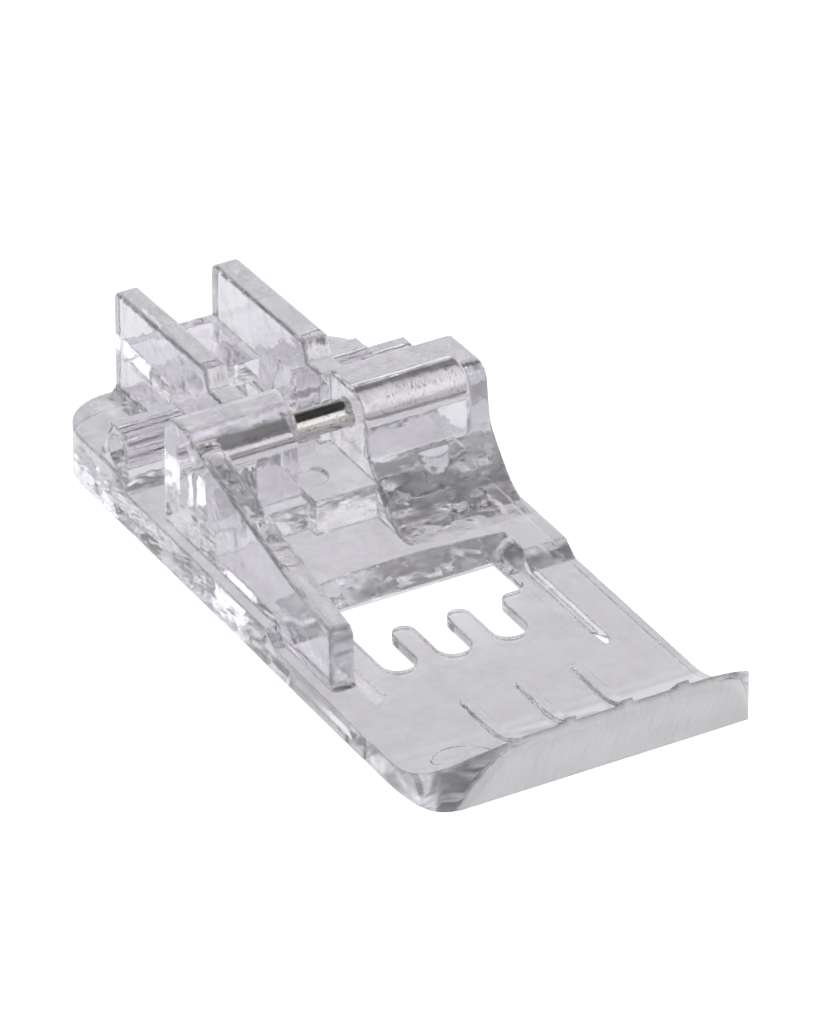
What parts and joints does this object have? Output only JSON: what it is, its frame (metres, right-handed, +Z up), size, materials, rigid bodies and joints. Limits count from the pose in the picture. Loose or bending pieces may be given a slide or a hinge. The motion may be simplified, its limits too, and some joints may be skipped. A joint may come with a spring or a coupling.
{
  "type": "sewing machine presser foot",
  "caption": "Clear moulded presser foot with an upturned ribbed toe, a combed needle window, a side arm, rear fins and a steel cross pin.",
  "frame": {"origin": "on the underside of the sole, half way along the foot and across it", "axes": "+X across the foot, +Y from the toe to the heel, +Z up from the sole"},
  "size_m": [0.0164, 0.041, 0.0087],
  "materials": {
    "clear_plastic": "clear injection-moulded polycarbonate, glossy, with a rubbed toe",
    "pin_steel": "drawn steel, lightly polished"
  },
  "bodies": {
    "root": {"clear_foot": "clear_plastic", "cross_pin": "pin_steel"}
  },
  "joints": []
}
